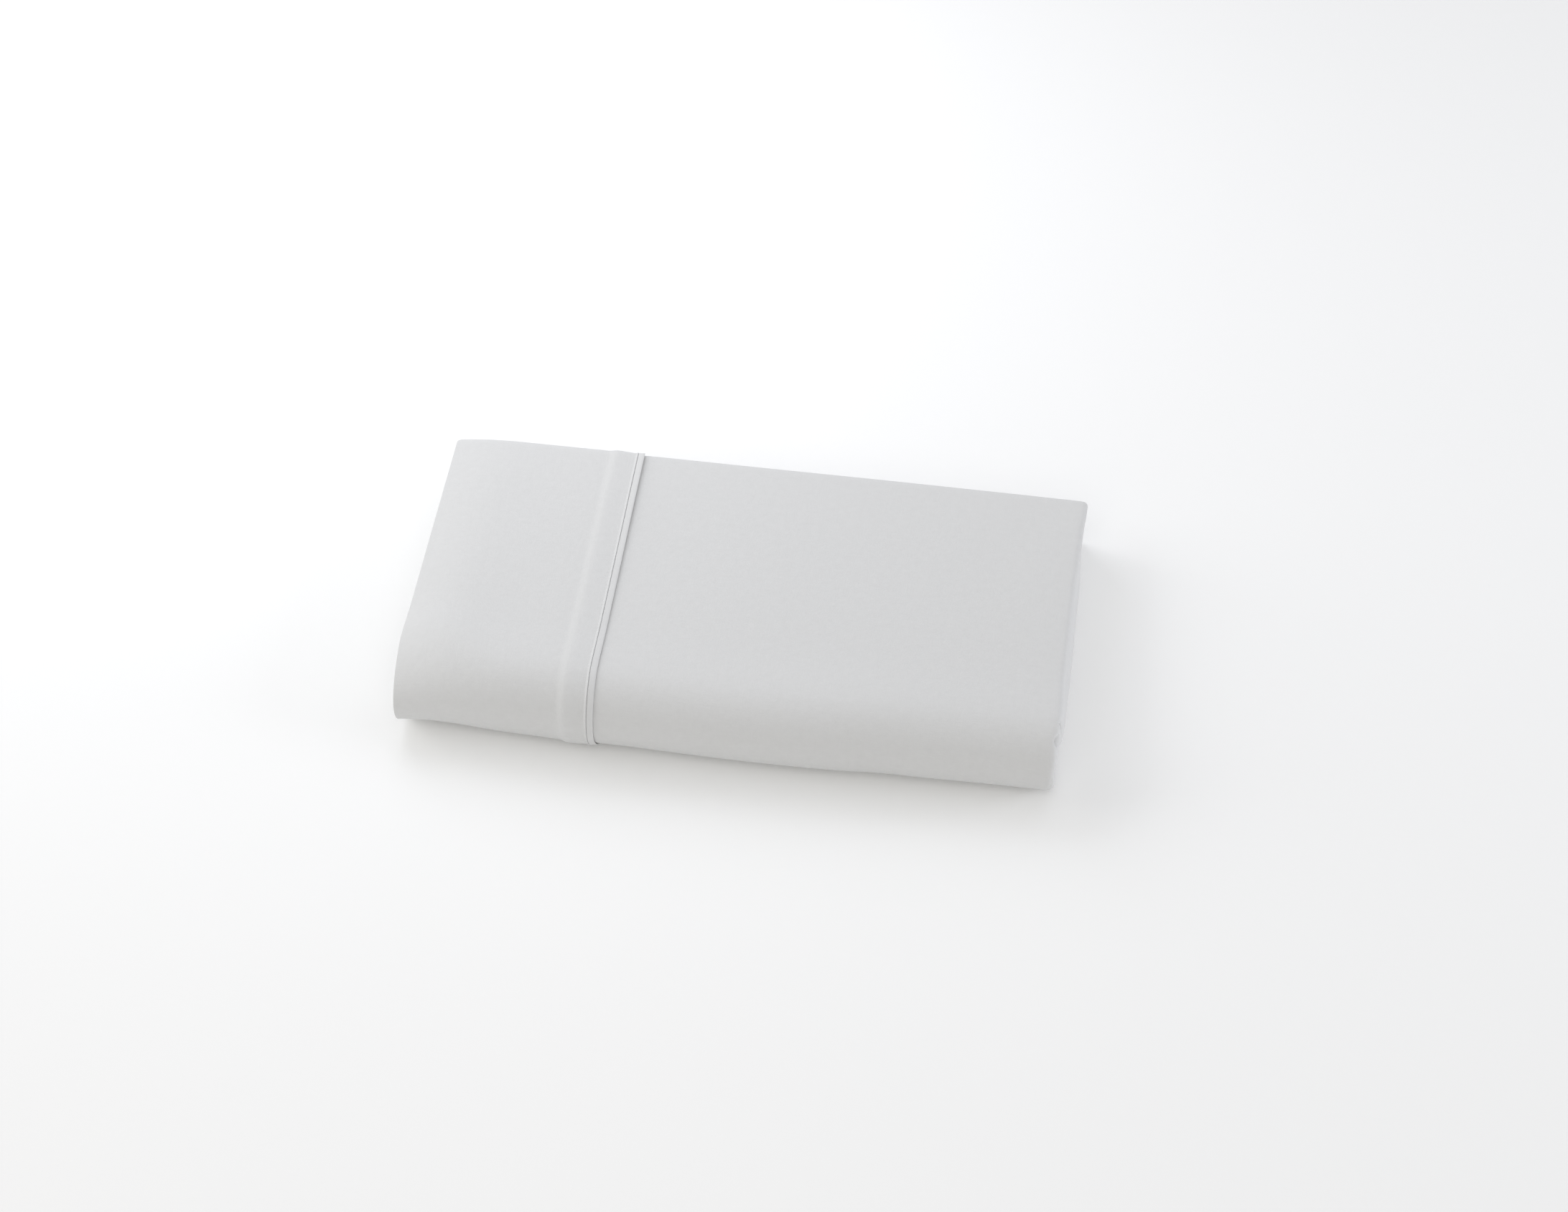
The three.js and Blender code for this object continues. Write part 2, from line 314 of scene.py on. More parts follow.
def fold_centre(x):
    """The place along Y that the layers of the front fold turn about."""
    reach = (CORE_RADIUS + half_thickness(x, 0)) * nose_stretch(x)
    return reach - HALF_DEPTH - front_bulge(x)


def rounded_corner(x, y):
    """Pulls the two back corners in to a round, seen from above."""
    across = min(max(1 - (HALF_WIDTH - abs(x)) / CORNER_RADIUS, 0), 1)
    along = min(max(1 - (HALF_DEPTH - y) / CORNER_RADIUS, 0), 1)
    pull_x = CORNER_RADIUS * across * (1 - math.sqrt(1 - along**2 / 2))
    pull_y = CORNER_RADIUS * along * (1 - math.sqrt(1 - across**2 / 2))
    return x - math.copysign(pull_x, x), y - pull_y


def rolled_side(way):
    """Lean and slant of the rolled side at a place along the cloth."""
    for before, after in zip(ROLLED_SIDE, ROLLED_SIDE[1:]):
        if way <= after.way:
            share = smoothstep(way, before.way, after.way)
            return lerp(before.lean, after.lean, share), lerp(before.slant, after.slant, share)
    return ROLLED_SIDE[-1].lean, ROLLED_SIDE[-1].slant


def side_dent(way, height, wider):
    """How far the dents take a point of the rolled side's wall inwards."""
    total = 0
    for dent in SIDE_DENTS:
        along = hump(way - dent.way, dent.long * wider)
        total += dent.deep * along * hump(height - dent.height, dent.tall * wider)
    return total


def skewed(x, y, lowered):
    """X with the lower half's inset and the skew of the open end and the hem. lowered is 0 to 1."""
    back_corner = smoothstep(y, HALF_DEPTH - BACK_CORNER_RUN, HALF_DEPTH)
    side = -INSET_OPEN_END if x < 0 else INSET_ROLLED_SIDE + INSET_BACK_CORNER * back_corner
    inset = side * lowered * abs(x) / HALF_WIDTH
    lean = OPEN_END_SKEW * max(-x, 0) / HALF_WIDTH
    drift = HEM_DRIFT * hump(x - HEM_EDGE_X, HEM_DRIFT_WIDE)
    return x - inset - (lean + drift) * y / HALF_DEPTH


def layer_height(layer):
    """Height of a layer's middle over the strip's inner face."""
    return LAYER_CLOTH / 2 + (LAYERS - layer) * PITCH


# A step is a place in the strip's section, and a station a place along the cloth's width
Step = namedtuple("Step", "x height heading slope top inset run")
Station = namedtuple("Station", "kind depth angle offset past inset way end run")


def top_step(x):
    """A step on the top layer."""
    return Step(x=x, height=layer_height(1), heading=1, slope=0, top=1, inset=0, run=0)


def sideways(step, station):
    """How far the plies' ends, the hem's swing and the rolled side take a point along X."""
    spread = station.end * open_end_share(step.x, PLY_END_RUN) * step.top
    swing = HEM_SWING * step.top * hump(step.x - HEM_EDGE_X, HEM_DRIFT_WIDE)
    spread += swing * smoothstep(-station.angle, *HEM_SWING_ANGLES)
    wider = 1 if station.offset > OUTERMOST else DENT_RUN
    lean, slant = rolled_side(station.way)
    lean += slant * (1 - step.height / STRIP_AT_FRONT)
    lean -= side_dent(station.way, step.height, wider)
    return spread + lean * smoothstep(step.x, HALF_WIDTH - ROLL_RUN, HALF_WIDTH)


def layer_wave(x, way, height):
    """Unevenness of the hidden layers, from -1 to 1."""
    along_x = math.sin(x / WAVE_RUN_X + WAVE_SHIFT_X * height)
    return along_x * math.sin(way / WAVE_RUN_WAY + WAVE_SHIFT_WAY * height)


def place(step, station, rise):
    """Puts a point of the cloth into the packet, further out than its layer by rise."""
    spread = sideways(step, station)
    x = step.x - step.slope * station.offset
    thickness = half_thickness(x, station.depth)
    share = thickness / STRIP_AT_FRONT
    outward = step.height / STRIP_AT_FRONT
    lowered = (90 - station.angle) / 180
    wave = layer_wave(x, station.way, step.height)
    middle = share * (step.height + WAVE_HEIGHT * wave * (1 - outward * lowered))
    face = share * step.heading * station.offset + rise
    if station.kind == "front":
        turn = math.radians(station.angle)
        reach = (CORE_RADIUS + middle) * nose_stretch(x) + face
        y = fold_centre(x) - reach * math.cos(turn)
        z = CORE_RADIUS + thickness + (CORE_RADIUS + middle + face) * math.sin(turn)
        return finished(skewed(x, y, lowered) + spread, y, z)
    back = HALF_DEPTH - step.inset - station.inset
    y = lerp(fold_centre(x), back, station.depth) + station.past
    x, y = rounded_corner(x, y)
    if station.kind == "lower":
        return finished(skewed(x, y, lowered) + spread, y, thickness - middle - face)
    gap = lerp(HALVES_GAP, 2 * CORE_RADIUS, 1 - smoothstep(station.depth, 0, CORE_RUN))
    near_back = max(1 - (HALF_DEPTH - y) / BACK_SOFT_RUN, 0)
    drop = BACK_SOFTNESS * outward * near_back**2
    z = thickness + gap + middle + face - drop
    return finished(skewed(x, y, lowered) + spread, y, z)


def finished(x, y, z):
    """From millimetres in the folding drawing to metres in the frame."""
    return ((x + CENTRE_SHIFT[0]) * MM, (y + CENTRE_SHIFT[1]) * MM, z * MM)


def loft(station):
    """Share of its height that the top relief keeps: under the packet it is pressed flat."""
    return smoothstep(station.angle, *LOFT_ANGLES)


def hem_rise(across):
    """Profile of the wide hem over the body cloth, across it from the open end."""
    if across > HEM_WIDTH:
        return 0
    low, high = ALLOWANCE_AT - ALLOWANCE_RUN / 2, ALLOWANCE_AT + ALLOWANCE_RUN / 2
    allowance = smoothstep(across, low, high)
    allowance *= 1 - ALLOWANCE_FALL * smoothstep(across, high, STITCH_AT)
    height = HEM_RAISE + ALLOWANCE_RAISE * allowance
    height += EDGE_RIDGE * hump(across - EDGE_RIDGE_AT, EDGE_RIDGE_WIDE)
    height -= STITCH_TROUGH * hump(across - STITCH_AT, STITCH_TROUGH_WIDE)
    return height * (1 - smoothstep(across, HEM_WIDTH - HEM_STEP, HEM_WIDTH))


def crease_rise(x, way):
    """Soft troughs and ridges of the top layer."""
    total = 0
    for crease in CREASES:
        turn = math.radians(crease.turn)
        dx, dw = x - crease.x, way - crease.way
        along = dx * math.cos(turn) + dw * math.sin(turn)
        across = dw * math.cos(turn) - dx * math.sin(turn)
        total += crease.height * hump(along, crease.long) * hump(across, crease.wide)
    return total


def cloth_rise(step, station):
    """How far the top layer stands off its even place: all of it at the outermost ply."""
    share = step.top * loft(station)
    if share <= 0:
        return 0
    outermost = (station.offset / PLY_PITCH + (PLIES - 1) / 2) / (PLIES - 1)
    creased = crease_rise(step.x, station.way)
    return share * (creased + hem_rise(step.x + HALF_WIDTH) * outermost)


# The two walks along the cloth


def layer_walk():
    """Walks the strip's section from the hem end to the foot end."""
    steps = []

    def step_to(x, height, heading, slope, top, inset):
        run = 0
        if steps:
            run = steps[-1].run + math.hypot(x - steps[-1].x, height - steps[-1].height)
        steps.append(Step(x, height, heading, slope, top, inset, run))

    def add_straight(layer, start_x, end_x):
        heading = math.copysign(1, end_x - start_x)
        stations = TOP_LAYER_STATIONS if layer == 1 else HIDDEN_LAYER_STATIONS

        def clear(x):
            return min((x - start_x) * heading, (end_x - x) * heading) > CLEAR_OF_TURN

        between = [at - HALF_WIDTH for at in stations if clear(at - HALF_WIDTH)]
        height, top, inset = layer_height(layer), float(layer == 1), BACK_INSETS[layer - 1]
        for x in (start_x, *sorted(between, key=lambda x: x * heading), end_x):
            step_to(x, height, heading, 0, top, inset)

    def add_turn(turn, centre_x):
        start, end = layer_height(turn.start), layer_height(turn.end)
        middle, radius = (start + end) / 2, (start - end) / 2
        squareness = ROLL_SQUARENESS if turn.side > 0 else 2
        for degrees in turn.angles:
            share = degrees / 180
            angle = math.radians(degrees)
            out, up = math.sin(angle), math.cos(angle)
            bulge = (abs(out) ** squareness + abs(up) ** squareness) ** (-1 / squareness)
            x = centre_x + turn.side * abs(radius) * out * bulge
            height = middle + radius * up * bulge
            power = squareness - 1
            normal = Vector((abs(out * bulge) ** power, abs(up * bulge) ** power))
            normal.normalize()
            heading = turn.side * math.copysign(normal.y, up)
            slope = -math.copysign(normal.x, radius)
            inset = lerp(BACK_INSETS[turn.start - 1], BACK_INSETS[turn.end - 1], share)
            top = float(turn.start == 1) * (1 - smoothstep(share, 0, TOP_FADE))
            step_to(x, height, heading, slope, top, inset)

    start_x = HEM_END_X
    for turn in LAYER_TURNS:
        centre_x = turn.side * (HALF_WIDTH - (LAYER_CLOTH + turn.widest * PITCH) / 2 - turn.inset)
        add_straight(turn.start, start_x, centre_x)
        add_turn(turn, centre_x)
        start_x = centre_x
    add_straight(LAYER_TURNS[-1].end, start_x, FOOT_END_X)
    return steps


def ply_offset(ply):
    """How far a ply lies outwards from its layer's middle."""
    return ((PLIES + 1) / 2 - ply) * PLY_PITCH


def ply_stations(ply):
    """One ply's stations, from its upper end over the front fold to its lower end."""
    outer = ply == 1
    offset, end = ply_offset(ply), PLY_END_INSETS[ply - 1]
    upper, lower = PLY_UPPER_INSETS[ply - 1], PLY_LOWER_INSETS[ply - 1]
    stations = []
    depths = [1 - way / WAY_TO_FRONT for way in OUTER_PLY_WAYS] if outer else INNER_PLY_DEPTHS
    for depth in depths:
        way = (1 - depth) * WAY_TO_FRONT
        stations.append(Station("upper", depth, 90, offset, 0, upper, way, end, 0))
    steps = OUTER_FRONT_STEPS if outer else INNER_FRONT_STEPS
    for count in range(1, steps):
        angle = 90 - 180 * count / steps
        way = WAY_TO_FRONT + FRONT_WAY * count / steps
        stations.append(Station("front", 0, angle, offset, 0, 0, way, end, 0))
    for depth in LOWER_PLY_DEPTHS:
        way = WAY_TO_FRONT + FRONT_WAY + depth * WAY_TO_FRONT
        stations.append(Station("lower", depth, -90, offset, 0, lower, way, end, 0))
    return stations


def ply_turn(last, ply, following):
    """The tight turn at a back edge, from the last station of a ply to the following ply."""
    start, end = ply_offset(ply), ply_offset(following)
    middle, radius = (start + end) / 2, (start - end) / 2
    start_inset, end_inset = PLY_END_INSETS[ply - 1], PLY_END_INSETS[following - 1]
    stations = []
    for count in range(1, PLY_TURN_STEPS):
        angle = math.pi * count / PLY_TURN_STEPS
        offset, past = middle + radius * math.cos(angle), abs(radius) * math.sin(angle)
        inset = lerp(start_inset, end_inset, count / PLY_TURN_STEPS)
        stations.append(last._replace(offset=offset, past=past, end=inset))
    return stations


def width_walk():
    """Walks the cloth's width from one selvedge to the other, through all six plies."""
    walk = ply_stations(PLY_ORDER[0])[::-1]
    downwards = True
    for ply, following in zip(PLY_ORDER, PLY_ORDER[1:]):
        walk += ply_turn(walk[-1], ply, following)
        walk += ply_stations(following)[:: 1 if downwards else -1]
        downwards = not downwards
    runs = [0]
    points = [Vector(place(top_step(0), station, 0)) for station in walk]
    for before, after in zip(points, points[1:]):
        runs.append(runs[-1] + (after - before).length / MM)
    return [station._replace(run=run) for station, run in zip(walk, runs)]


# Blender helpers


def new_object(name, mesh):
    piece = bpy.data.objects.new(name, mesh)
    bpy.context.scene.collection.objects.link(piece)
    return piece


def add(tree, kind, values=(), **settings):
    """Adds a node. values are pairs of an input's name or number and its value or its link."""
    node = tree.nodes.new(kind)
    for name, value in settings.items():
        setattr(node, name, value)
    for key, value in values:
        if isinstance(value, bpy.types.NodeSocket):
            tree.links.new(value, node.inputs[key])
        else:
            node.inputs[key].default_value = value
    return node


def new_material(name):
    material = bpy.data.materials.new(name)
    material.use_nodes = True
    material.node_tree.nodes.clear()
    return material, material.node_tree


def rgba(colour):
    return (*colour, 1)


def cotton_material(name, colour, thread_mm, depth, sheen):
    """Plainly woven white cotton, matt, with a faint sheen where the light grazes it.

    Its weave is a fine even grain, with slightly thicker threads here and there and a faint mottle.
    """
    material, tree = new_material(name)
    flat = add(tree, "ShaderNodeUVMap", uv_map="flat").outputs[0]
    turns = (math.pi / (thread_mm * MM),) * 3
    threads = add(tree, "ShaderNodeVectorMath", ((0, flat), (1, turns)), operation="MULTIPLY")
    split = add(tree, "ShaderNodeSeparateXYZ", ((0, threads.outputs[0]),))
    warp = add(tree, "ShaderNodeMath", ((0, split.outputs[0]),), operation="SINE")
    weft = add(tree, "ShaderNodeMath", ((0, split.outputs[1]),), operation="SINE")
    crossed = ((0, warp.outputs[0]), (1, weft.outputs[0]))
    weave = add(tree, "ShaderNodeMath", crossed, operation="MULTIPLY")
    warp_slubs = slubs(tree, flat, (SLUB_SCALE_ALONG, SLUB_SCALE_ACROSS, 1))
    weft_slubs = slubs(tree, flat, (SLUB_SCALE_ACROSS, SLUB_SCALE_ALONG, 1))
    uneven = add(tree, "ShaderNodeMath", ((0, warp_slubs), (1, weft_slubs)), operation="ADD")
    mottle = add(
        tree,
        "ShaderNodeTexNoise",
        (
            ("Vector", flat),
            ("Scale", MOTTLE_SCALE),
            ("Detail", 3),
            ("Roughness", MOTTLE_ROUGHNESS),
        ),
    )
    rough = add(
        tree,
        "ShaderNodeMath",
        ((0, mottle.outputs[0]), (1, MOTTLE_RELIEF), (2, uneven.outputs[0])),
        operation="MULTIPLY_ADD",
    )
    relief = add(
        tree,
        "ShaderNodeMath",
        ((0, weave.outputs[0]), (1, WEAVE_RELIEF), (2, rough.outputs[0])),
        operation="MULTIPLY_ADD",
    )
    height = (("Strength", depth), ("Distance", 0.2 * MM), ("Height", relief.outputs[0]))
    bump = add(tree, "ShaderNodeBump", height)
    tone = add(
        tree,
        "ShaderNodeMath",
        ((0, uneven.outputs[0]), (1, SLUB_TONE), (2, mottle.outputs[0])),
        operation="MULTIPLY_ADD",
    )
    spread = ((0, tone.outputs[0]), (1, TONE_RANGE[0]), (2, TONE_RANGE[1]))
    shade = add(tree, "ShaderNodeMapRange", spread)
    darker = tuple(c * DARKEST_COTTON for c in colour)
    tones = ((0, shade.outputs[0]), (6, rgba(darker)), (7, rgba(colour)))
    mixed = add(tree, "ShaderNodeMix", tones, data_type="RGBA")
    shader = add(
        tree,
        "ShaderNodeBsdfPrincipled",
        (
            ("Base Color", mixed.outputs[2]),
            ("Roughness", 0.82),
            ("Specular IOR Level", 0.3),
            ("Sheen Weight", sheen),
            ("Sheen Roughness", 0.45),
            ("Normal", bump.outputs[0]),
        ),
    )
    add(tree, "ShaderNodeOutputMaterial", ((0, shader.outputs[0]),))
    return material


def slubs(tree, flat, scale):
    """Long thin unevenness along one set of threads."""
    stretched = add(tree, "ShaderNodeVectorMath", ((0, flat), (1, scale)), operation="MULTIPLY")
    values = (("Vector", stretched.outputs[0]), ("Scale", 1), ("Detail", 2))
    return add(tree, "ShaderNodeTexNoise", values).outputs[0]


def thread_material(name, colour):
    """Sewing thread: white, smoother than the cotton, with a fine twist across each stitch."""
    material, tree = new_material(name)
    place_of = add(tree, "ShaderNodeTexCoord").outputs["Object"]
    twist = add(
        tree,
        "ShaderNodeTexWave",
        (("Vector", place_of), ("Scale", TWIST_SCALE), ("Distortion", 1.5), ("Detail", 1)),
        bands_direction="DIAGONAL",
    )
    height = (("Strength", 0.4), ("Distance", 0.05 * MM), ("Height", twist.outputs[1]))
    bump = add(tree, "ShaderNodeBump", height)
    darker = tuple(c * DARKEST_THREAD for c in colour)
    tones = ((0, twist.outputs[1]), (6, rgba(darker)), (7, rgba(colour)))
    mixed = add(tree, "ShaderNodeMix", tones, data_type="RGBA")
    values = (("Base Color", mixed.outputs[2]), ("Roughness", 0.5), ("Normal", bump.outputs[0]))
    shader = add(tree, "ShaderNodeBsdfPrincipled", values)
    add(tree, "ShaderNodeOutputMaterial", ((0, shader.outputs[0]),))
    return material


def paper_material(name, colour, glow):
    """Matt white studio paper. It glows a little, so that it stays white beside the cotton."""
    material, tree = new_material(name)
    values = (
        ("Base Color", rgba(colour)),
        ("Roughness", 0.9),
        ("Emission Color", rgba(colour)),
        ("Emission Strength", glow),
    )
    shader = add(tree, "ShaderNodeBsdfPrincipled", values)
    add(tree, "ShaderNodeOutputMaterial", ((0, shader.outputs[0]),))
    return material


# Sizes and colours that a user would change


class ClothSettings(bpy.types.PropertyGroup):
    flat_width: FloatProperty(
        name="Flat width",
        description="Width of the unfolded sheet",
        default=2.34,
        unit="LENGTH",
    )
    flat_length: FloatProperty(
        name="Flat length",
        description="Length of the unfolded sheet",
        default=2.67,
        unit="LENGTH",
    )
    thickness: FloatProperty(
        name="Cloth thickness",
        description="Thickness of one ply of the cotton",
        default=0.15 * MM,
        unit="LENGTH",
        precision=5,
    )
    colour: FloatVectorProperty(
        name="Cotton",
        description="Colour of the sheet's cotton",
        default=linear("#dcdcdb"),
        subtype="COLOR",
    )


class PipingSettings(bpy.types.PropertyGroup):
    width: FloatProperty(
        name="Width",
        description="Width of the flat piping",
        default=3.4 * MM,
        unit="LENGTH",
        precision=5,
    )
    thickness: FloatProperty(
        name="Thickness",
        description="Thickness of the folded band",
        default=0.6 * MM,
        unit="LENGTH",
        precision=5,
    )
    colour: FloatVectorProperty(
        name="Cotton",
        description="Colour of the piping's cotton",
        default=linear("#dededd"),
        subtype="COLOR",
    )


class StitchSettings(bpy.types.PropertyGroup):
    pitch: FloatProperty(
        name="Stitch pitch",
        description="Distance from one stitch to the next",
        default=2.5 * MM,
        unit="LENGTH",
        precision=5,
    )
    length: FloatProperty(
        name="Stitch length",
        description="Length of the thread that shows",
        default=2.1 * MM,
        unit="LENGTH",
        precision=5,
    )
    thread: FloatProperty(
        name="Thread",
        description="Thickness of the sewing thread",
        default=0.22 * MM,
        unit="LENGTH",
        precision=5,
    )
    colour: FloatVectorProperty(
        name="Thread colour",
        description="Colour of the sewing thread",
        default=linear("#dedede"),
        subtype="COLOR",
    )


class StudioSettings(bpy.types.PropertyGroup):
    floor_colour: FloatVectorProperty(
        name="Floor",
        description="Colour of the floor",
        default=linear("#fbfbfa"),
        subtype="COLOR",
    )
    lens: FloatProperty(
        name="Lens",
        description="Focal length of the camera, in millimetres",
        default=83.37,
    )
    distance: FloatProperty(
        name="Distance",
        description="From the camera to what it looks at",
        default=1.9,
        unit="LENGTH",
    )
    pitch: FloatProperty(
        name="Pitch",
        description="How far the camera looks down",
        default=math.radians(45),
        unit="ROTATION",
    )
    yaw: FloatProperty(
        name="Yaw",
        description="Turn of the camera about the packet",
        default=math.radians(8.609),
        unit="ROTATION",
    )


class PacketSettings(bpy.types.PropertyGroup):
    cloth: PointerProperty(type=ClothSettings, name="Cloth", description="The sheet's cotton")
    piping: PointerProperty(type=PipingSettings, name="Piping", description="The flat piping")
    stitches: PointerProperty(type=StitchSettings, name="Stitches", description="The sewing")
    studio: PointerProperty(type=StudioSettings, name="Studio", description="Floor and camera")


def cut_mesh(name, verts, faces, flats):
    """A smooth mesh. Its UV map, flat, holds each point's place on the flat cloth, in metres."""
    mesh = bpy.data.meshes.new(name)
    mesh.from_pydata(verts, [], faces)
    layer = mesh.uv_layers.new(name="flat")
    for loop in mesh.loops:
        layer.data[loop.index].uv = flats[loop.vertex_index]
    mesh.polygons.foreach_set("use_smooth", [True] * len(faces))
    mesh.update()
    return mesh


def cloth_mesh():
    """The whole sheet as one surface, folded through both walks."""
    steps, stations = layer_walk(), width_walk()
    verts, flats = [], []
    for step in steps:
        for station in stations:
            verts.append(place(step, station, cloth_rise(step, station)))
            flats.append((step.run * MM, station.run * MM))
    count = len(stations)
    faces = []
    for row in range(len(steps) - 1):
        for column in range(count - 1):
            corner = row * count + column
            faces.append((corner, corner + 1, corner + count + 1, corner + count))
    return cut_mesh("folded_cotton_sheet", verts, faces, flats)


def trim_place(across, above, station):
    """A place beside the hem's edge, above the middle of the single cloth there."""
    step = top_step(across - HALF_WIDTH)
    lying = crease_rise(step.x, station.way) * loft(station)
    return place(step, station, lying + above * max(loft(station), LEAST_LOFT))


def trim_stations():
    """The outermost ply's stations from the back edge to where the trim ends."""
    stations = [station for station in ply_stations(1) if station.kind != "lower"]
    return [station for station in stations if station.angle >= TRIM_LAST_ANGLE]


def piping_section(wide, thick):
    """The band's section, across and above, from its sewn edge over its top to its folded edge."""
    rounding = thick * PIPING_ROUND_SHARE
    return (
        (0, 0),
        (0, thick / 2),
        (PIPING_SEWN_DROP, thick - PIPING_SEWN_DROP),
        (PIPING_SEWN_RUN, thick),
        (wide / 3, thick),
        (wide * 2 / 3, thick),
        (wide - rounding, thick),
        (wide, thick - rounding),
        (wide - rounding, thick / 3),
        (wide - PIPING_UNDERCUT, 0),
        (wide / 2, 0),
    )


def piping_mesh(wide, thick):
    """The band as a closed tube along the hem's edge. wide and thick are in millimetres."""
    section, stations = piping_section(wide, thick), trim_stations()
    verts, flats = [], []
    for station in stations:
        lift = PIPING_LIFT_AT_BACK * hump(station.way, PIPING_LIFT_RUN)
        for across, above in section:
            height = PIPING_LOW + above + (lift - PIPING_SLOPE) * across / wide
            verts.append(trim_place(HEM_WIDTH + PIPING_GAP + across, height, station))
            flats.append((across * MM, station.way * MM))
    count = len(section)
    first, last = range(count), range(len(verts) - 1, len(verts) - 1 - count, -1)
    faces = [tuple(first), tuple(last)]
    for row in range(len(stations) - 1):
        for column in range(count):
            here, ahead = row * count + column, row * count + (column + 1) % count
            faces.append((here, here + count, ahead + count, ahead))
    return cut_mesh("flat_piping", verts, faces, flats)


class PACKET_OT_cloth(bpy.types.Operator):
    """Makes the folded cotton sheet with all its 96 plies"""

    bl_idname = "packet.cloth"
    bl_label = "Folded cotton sheet"

    def execute(self, context):
        settings = context.scene.packet.cloth
        cloth = new_object("folded_cotton_sheet", cloth_mesh())
        cotton = cotton_material(
            "pressed_cotton_percale",
            settings.colour,
            thread_mm=PERCALE_THREAD,
            depth=0.3,
            sheen=0.12,
        )
        cloth.data.materials.append(cotton)
        solidify = cloth.modifiers.new("Cloth thickness", "SOLIDIFY")
        solidify.thickness = settings.thickness
        solidify.offset = 0
        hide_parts("sheet")
        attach(cloth, "root")
        return {"FINISHED"}


class PACKET_OT_piping(bpy.types.Operator):
    """Makes the flat piping beside the hem's edge"""

    bl_idname = "packet.piping"
    bl_label = "Flat piping"

    def execute(self, context):
        settings = context.scene.packet.piping
        mesh = piping_mesh(settings.width / MM, settings.thickness / MM)
        piping = new_object("flat_piping", mesh)
        cotton = cotton_material(
            "folded_cotton_band",
            settings.colour,
            thread_mm=BAND_THREAD,
            depth=0.25,
            sheen=0.2,
        )
        mesh.materials.append(cotton)
        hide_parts("piping")
        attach(piping, "root")
        return {"FINISHED"}


def stitch_tree(material):
    """Geometry nodes that lay small threads along a path."""
    tree = bpy.data.node_groups.new("stitch_row", "GeometryNodeTree")
    tree.interface.new_socket("Geometry", in_out="INPUT", socket_type="NodeSocketGeometry")
    for name in ("Pitch", "Length", "Thread"):
        tree.interface.new_socket(name, in_out="INPUT", socket_type="NodeSocketFloat")
    tree.interface.new_socket("Geometry", in_out="OUTPUT", socket_type="NodeSocketGeometry")
    given = add(tree, "NodeGroupInput")
    path = add(tree, "GeometryNodeMeshToCurve", ((0, given.outputs["Geometry"]),))
    apart = ((0, path.outputs[0]), ("Length", given.outputs["Pitch"]))
    spaced = add(tree, "GeometryNodeCurveToPoints", apart, mode="LENGTH")
    along = (("Vector", spaced.outputs["Tangent"]),)
    turned = add(tree, "FunctionNodeAlignRotationToVector", along, axis="X")
    ball = add(tree, "GeometryNodeMeshUVSphere", (("Segments", 8), ("Rings", 6), ("Radius", 0.5)))
    long, thin = given.outputs["Length"], given.outputs["Thread"]
    size = add(tree, "ShaderNodeCombineXYZ", ((0, long), (1, thin), (2, thin)))
    drawn_out = (("Geometry", ball.outputs[0]), ("Scale", size.outputs[0]))
    thread = add(tree, "GeometryNodeTransform", drawn_out)
    smooth = add(tree, "GeometryNodeSetShadeSmooth", ((0, thread.outputs[0]),))
    row = (
        ("Points", spaced.outputs[0]),
        ("Instance", smooth.outputs[0]),
        ("Rotation", turned.outputs[0]),
    )
    laid = add(tree, "GeometryNodeInstanceOnPoints", row)
    real = add(tree, "GeometryNodeRealizeInstances", ((0, laid.outputs[0]),))
    finish = add(tree, "GeometryNodeSetMaterial", ((0, real.outputs[0]), ("Material", material)))
    add(tree, "NodeGroupOutput", ((0, finish.outputs[0]),))
    return tree


class PACKET_OT_stitches(bpy.types.Operator):
    """Sews the row of stitches beside the hem's edge"""

    bl_idname = "packet.stitches"
    bl_label = "Row of stitches"

    def execute(self, context):
        settings = context.scene.packet.stitches
        sewn = hem_rise(STITCH_AT) + STITCH_LIFT
        stations = trim_stations()[STITCH_FIRST_STATION:]
        verts = [trim_place(STITCH_AT, sewn, station) for station in stations]
        mesh = bpy.data.meshes.new("stitch_path")
        mesh.from_pydata(verts, [(i, i + 1) for i in range(len(verts) - 1)], [])
        path = new_object("stitch_path", mesh)
        thread = thread_material("white_polyester_thread", settings.colour)
        tree = stitch_tree(thread)
        modifier = path.modifiers.new("Stitches", "NODES")
        modifier.node_group = tree
        sizes = {"Pitch": settings.pitch, "Length": settings.length, "Thread": settings.thread}
        for item in tree.interface.items_tree:
            if item.in_out == "INPUT" and item.name in sizes:
                modifier[item.identifier] = sizes[item.name]
        evaluated = path.evaluated_get(context.evaluated_depsgraph_get())
        sewn_mesh = bpy.data.meshes.new_from_object(evaluated)
        bpy.data.objects.remove(path)
        if not sewn_mesh.polygons:
            raise RuntimeError("the row of stitches is empty")
        stitches = new_object("hem_stitches", sewn_mesh)
        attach(stitches, "root")
        return {"FINISHED"}


